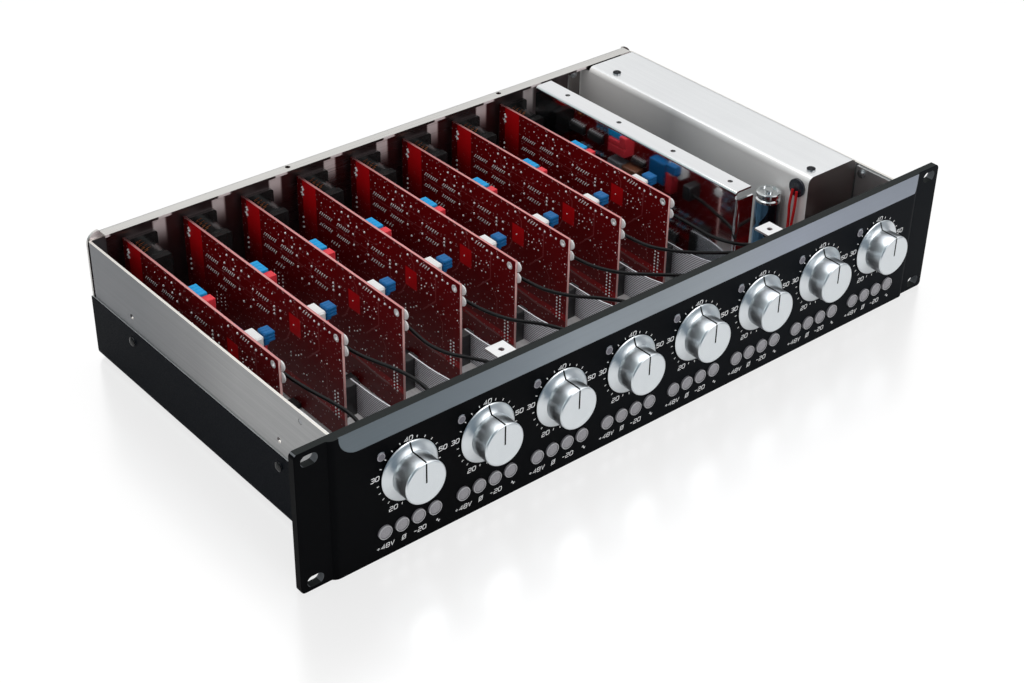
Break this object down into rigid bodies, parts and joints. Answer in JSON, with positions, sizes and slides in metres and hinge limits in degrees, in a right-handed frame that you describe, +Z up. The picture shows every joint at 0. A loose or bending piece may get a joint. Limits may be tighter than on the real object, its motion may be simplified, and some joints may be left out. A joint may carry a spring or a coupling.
{
  "type": "microphone preamp",
  "caption": "Rack-mount microphone preamp, two units high, with turned knobs and push buttons on a raised black panel; top cover off, showing upright circuit boards and a boxed supply.",
  "frame": {"origin": "centre of the four rack slots, on the back of the rack ears", "axes": "+X to the right of a person facing the front panel, +Y from the panel to the rear, +Z up"},
  "size_m": [0.4826, 0.2744, 0.0882],
  "materials": {
    "black_anodised": "black anodised, satin",
    "sheet_aluminium": "brushed",
    "black_paint": "fine powder coat",
    "circuit_board": "dark red solder resist",
    "switch_metal": "moulded",
    "clear_lens": "translucent grey",
    "black_plastic": "moulded",
    "component_plastic": "moulded",
    "ribbon": "grey flat cable",
    "lead_jacket": "satin jacket",
    "connector_black": "moulded",
    "polished_sheet": "polished",
    "can_metal": "sleeved can",
    "screw_steel": "plated",
    "spun_aluminium": "fine turned",
    "button_lens": "translucent grey"
  },
  "bodies": {
    "chassis": {"front_panel": "black_anodised", "front_bracket": "sheet_aluminium", "side_rails": "sheet_aluminium", "rear_panel": "sheet_aluminium", "bottom_cover": "black_paint", "control_board": "circuit_board", "panel_switches": "switch_metal", "indicator_lenses": "clear_lens", "channel_boards": "circuit_board", "board_rail": "black_plastic", "board_components": "component_plastic", "ribbon_cables": "ribbon", "signal_leads": "lead_jacket", "xlr_connectors": "connector_black", "mains_inlet": "connector_black", "shield_divider": "polished_sheet", "power_supply_box": "sheet_aluminium", "power_supply_module": "component_plastic", "smoothing_capacitor": "can_metal", "screws": "screw_steel"},
    "knob_1": {"knob_1": "spun_aluminium"},
    "knob_2": {"knob_2": "spun_aluminium"},
    "knob_3": {"knob_3": "spun_aluminium"},
    "knob_4": {"knob_4": "spun_aluminium"},
    "knob_5": {"knob_5": "spun_aluminium"},
    "knob_6": {"knob_6": "spun_aluminium"},
    "knob_7": {"knob_7": "spun_aluminium"},
    "knob_8": {"knob_8": "spun_aluminium"},
    "button_1_a": {"button_1_a": "button_lens"},
    "button_1_b": {"button_1_b": "button_lens"},
    "button_1_c": {"button_1_c": "button_lens"},
    "button_1_d": {"button_1_d": "button_lens"},
    "button_2_a": {"button_2_a": "button_lens"},
    "button_2_b": {"button_2_b": "button_lens"},
    "button_2_c": {"button_2_c": "button_lens"},
    "button_2_d": {"button_2_d": "button_lens"},
    "button_3_a": {"button_3_a": "button_lens"},
    "button_3_b": {"button_3_b": "button_lens"},
    "button_3_c": {"button_3_c": "button_lens"},
    "button_3_d": {"button_3_d": "button_lens"},
    "button_4_a": {"button_4_a": "button_lens"},
    "button_4_b": {"button_4_b": "button_lens"},
    "button_4_c": {"button_4_c": "button_lens"},
    "button_4_d": {"button_4_d": "button_lens"},
    "button_5_a": {"button_5_a": "button_lens"},
    "button_5_b": {"button_5_b": "button_lens"},
    "button_5_c": {"button_5_c": "button_lens"},
    "button_5_d": {"button_5_d": "button_lens"},
    "button_6_a": {"button_6_a": "button_lens"},
    "button_6_b": {"button_6_b": "button_lens"},
    "button_6_c": {"button_6_c": "button_lens"},
    "button_6_d": {"button_6_d": "button_lens"},
    "button_7_a": {"button_7_a": "button_lens"},
    "button_7_b": {"button_7_b": "button_lens"},
    "button_7_c": {"button_7_c": "button_lens"},
    "button_7_d": {"button_7_d": "button_lens"},
    "button_8_a": {"button_8_a": "button_lens"},
    "button_8_b": {"button_8_b": "button_lens"},
    "button_8_c": {"button_8_c": "button_lens"},
    "button_8_d": {"button_8_d": "button_lens"}
  },
  "joints": [
    {"name": "knob_1_turn", "type": "hinge", "parent": "chassis", "child": "knob_1", "pos_m": [-0.1737, -0.012, 0.00525], "axis": [0, 1, 0], "range_deg": [-165, 180]},
    {"name": "knob_2_turn", "type": "hinge", "parent": "chassis", "child": "knob_2", "pos_m": [-0.1222, -0.012, 0.00525], "axis": [0, 1, 0], "range_deg": [-165, 180]},
    {"name": "knob_3_turn", "type": "hinge", "parent": "chassis", "child": "knob_3", "pos_m": [-0.0707, -0.012, 0.00525], "axis": [0, 1, 0], "range_deg": [-165, 180]},
    {"name": "knob_4_turn", "type": "hinge", "parent": "chassis", "child": "knob_4", "pos_m": [-0.0192, -0.012, 0.00525], "axis": [0, 1, 0], "range_deg": [-165, 180]},
    {"name": "knob_5_turn", "type": "hinge", "parent": "chassis", "child": "knob_5", "pos_m": [0.0323, -0.012, 0.00525], "axis": [0, 1, 0], "range_deg": [-165, 180]},
    {"name": "knob_6_turn", "type": "hinge", "parent": "chassis", "child": "knob_6", "pos_m": [0.0838, -0.012, 0.00525], "axis": [0, 1, 0], "range_deg": [-165, 180]},
    {"name": "knob_7_turn", "type": "hinge", "parent": "chassis", "child": "knob_7", "pos_m": [0.1353, -0.012, 0.00525], "axis": [0, 1, 0], "range_deg": [-165, 180]},
    {"name": "knob_8_turn", "type": "hinge", "parent": "chassis", "child": "knob_8", "pos_m": [0.1868, -0.012, 0.00525], "axis": [0, 1, 0], "range_deg": [-165, 180]},
    {"name": "button_1_a_press", "type": "slide", "parent": "chassis", "child": "button_1_a", "axis": [0, 1, 0], "range_m": [0, 0.0012], "stiffness_N_per_m": 600, "springref_m": -0.0015},
    {"name": "button_1_b_press", "type": "slide", "parent": "chassis", "child": "button_1_b", "axis": [0, 1, 0], "range_m": [0, 0.0012], "stiffness_N_per_m": 600, "springref_m": -0.0015},
    {"name": "button_1_c_press", "type": "slide", "parent": "chassis", "child": "button_1_c", "axis": [0, 1, 0], "range_m": [0, 0.0012], "stiffness_N_per_m": 600, "springref_m": -0.0015},
    {"name": "button_1_d_press", "type": "slide", "parent": "chassis", "child": "button_1_d", "axis": [0, 1, 0], "range_m": [0, 0.0012], "stiffness_N_per_m": 600, "springref_m": -0.0015},
    {"name": "button_2_a_press", "type": "slide", "parent": "chassis", "child": "button_2_a", "axis": [0, 1, 0], "range_m": [0, 0.0012], "stiffness_N_per_m": 600, "springref_m": -0.0015},
    {"name": "button_2_b_press", "type": "slide", "parent": "chassis", "child": "button_2_b", "axis": [0, 1, 0], "range_m": [0, 0.0012], "stiffness_N_per_m": 600, "springref_m": -0.0015},
    {"name": "button_2_c_press", "type": "slide", "parent": "chassis", "child": "button_2_c", "axis": [0, 1, 0], "range_m": [0, 0.0012], "stiffness_N_per_m": 600, "springref_m": -0.0015},
    {"name": "button_2_d_press", "type": "slide", "parent": "chassis", "child": "button_2_d", "axis": [0, 1, 0], "range_m": [0, 0.0012], "stiffness_N_per_m": 600, "springref_m": -0.0015},
    {"name": "button_3_a_press", "type": "slide", "parent": "chassis", "child": "button_3_a", "axis": [0, 1, 0], "range_m": [0, 0.0012], "stiffness_N_per_m": 600, "springref_m": -0.0015},
    {"name": "button_3_b_press", "type": "slide", "parent": "chassis", "child": "button_3_b", "axis": [0, 1, 0], "range_m": [0, 0.0012], "stiffness_N_per_m": 600, "springref_m": -0.0015},
    {"name": "button_3_c_press", "type": "slide", "parent": "chassis", "child": "button_3_c", "axis": [0, 1, 0], "range_m": [0, 0.0012], "stiffness_N_per_m": 600, "springref_m": -0.0015},
    {"name": "button_3_d_press", "type": "slide", "parent": "chassis", "child": "button_3_d", "axis": [0, 1, 0], "range_m": [0, 0.0012], "stiffness_N_per_m": 600, "springref_m": -0.0015},
    {"name": "button_4_a_press", "type": "slide", "parent": "chassis", "child": "button_4_a", "axis": [0, 1, 0], "range_m": [0, 0.0012], "stiffness_N_per_m": 600, "springref_m": -0.0015},
    {"name": "button_4_b_press", "type": "slide", "parent": "chassis", "child": "button_4_b", "axis": [0, 1, 0], "range_m": [0, 0.0012], "stiffness_N_per_m": 600, "springref_m": -0.0015},
    {"name": "button_4_c_press", "type": "slide", "parent": "chassis", "child": "button_4_c", "axis": [0, 1, 0], "range_m": [0, 0.0012], "stiffness_N_per_m": 600, "springref_m": -0.0015},
    {"name": "button_4_d_press", "type": "slide", "parent": "chassis", "child": "button_4_d", "axis": [0, 1, 0], "range_m": [0, 0.0012], "stiffness_N_per_m": 600, "springref_m": -0.0015},
    {"name": "button_5_a_press", "type": "slide", "parent": "chassis", "child": "button_5_a", "axis": [0, 1, 0], "range_m": [0, 0.0012], "stiffness_N_per_m": 600, "springref_m": -0.0015},
    {"name": "button_5_b_press", "type": "slide", "parent": "chassis", "child": "button_5_b", "axis": [0, 1, 0], "range_m": [0, 0.0012], "stiffness_N_per_m": 600, "springref_m": -0.0015},
    {"name": "button_5_c_press", "type": "slide", "parent": "chassis", "child": "button_5_c", "axis": [0, 1, 0], "range_m": [0, 0.0012], "stiffness_N_per_m": 600, "springref_m": -0.0015},
    {"name": "button_5_d_press", "type": "slide", "parent": "chassis", "child": "button_5_d", "axis": [0, 1, 0], "range_m": [0, 0.0012], "stiffness_N_per_m": 600, "springref_m": -0.0015},
    {"name": "button_6_a_press", "type": "slide", "parent": "chassis", "child": "button_6_a", "axis": [0, 1, 0], "range_m": [0, 0.0012], "stiffness_N_per_m": 600, "springref_m": -0.0015},
    {"name": "button_6_b_press", "type": "slide", "parent": "chassis", "child": "button_6_b", "axis": [0, 1, 0], "range_m": [0, 0.0012], "stiffness_N_per_m": 600, "springref_m": -0.0015},
    {"name": "button_6_c_press", "type": "slide", "parent": "chassis", "child": "button_6_c", "axis": [0, 1, 0], "range_m": [0, 0.0012], "stiffness_N_per_m": 600, "springref_m": -0.0015},
    {"name": "button_6_d_press", "type": "slide", "parent": "chassis", "child": "button_6_d", "axis": [0, 1, 0], "range_m": [0, 0.0012], "stiffness_N_per_m": 600, "springref_m": -0.0015},
    {"name": "button_7_a_press", "type": "slide", "parent": "chassis", "child": "button_7_a", "axis": [0, 1, 0], "range_m": [0, 0.0012], "stiffness_N_per_m": 600, "springref_m": -0.0015},
    {"name": "button_7_b_press", "type": "slide", "parent": "chassis", "child": "button_7_b", "axis": [0, 1, 0], "range_m": [0, 0.0012], "stiffness_N_per_m": 600, "springref_m": -0.0015},
    {"name": "button_7_c_press", "type": "slide", "parent": "chassis", "child": "button_7_c", "axis": [0, 1, 0], "range_m": [0, 0.0012], "stiffness_N_per_m": 600, "springref_m": -0.0015},
    {"name": "button_7_d_press", "type": "slide", "parent": "chassis", "child": "button_7_d", "axis": [0, 1, 0], "range_m": [0, 0.0012], "stiffness_N_per_m": 600, "springref_m": -0.0015},
    {"name": "button_8_a_press", "type": "slide", "parent": "chassis", "child": "button_8_a", "axis": [0, 1, 0], "range_m": [0, 0.0012], "stiffness_N_per_m": 600, "springref_m": -0.0015},
    {"name": "button_8_b_press", "type": "slide", "parent": "chassis", "child": "button_8_b", "axis": [0, 1, 0], "range_m": [0, 0.0012], "stiffness_N_per_m": 600, "springref_m": -0.0015},
    {"name": "button_8_c_press", "type": "slide", "parent": "chassis", "child": "button_8_c", "axis": [0, 1, 0], "range_m": [0, 0.0012], "stiffness_N_per_m": 600, "springref_m": -0.0015},
    {"name": "button_8_d_press", "type": "slide", "parent": "chassis", "child": "button_8_d", "axis": [0, 1, 0], "range_m": [0, 0.0012], "stiffness_N_per_m": 600, "springref_m": -0.0015}
  ]
}
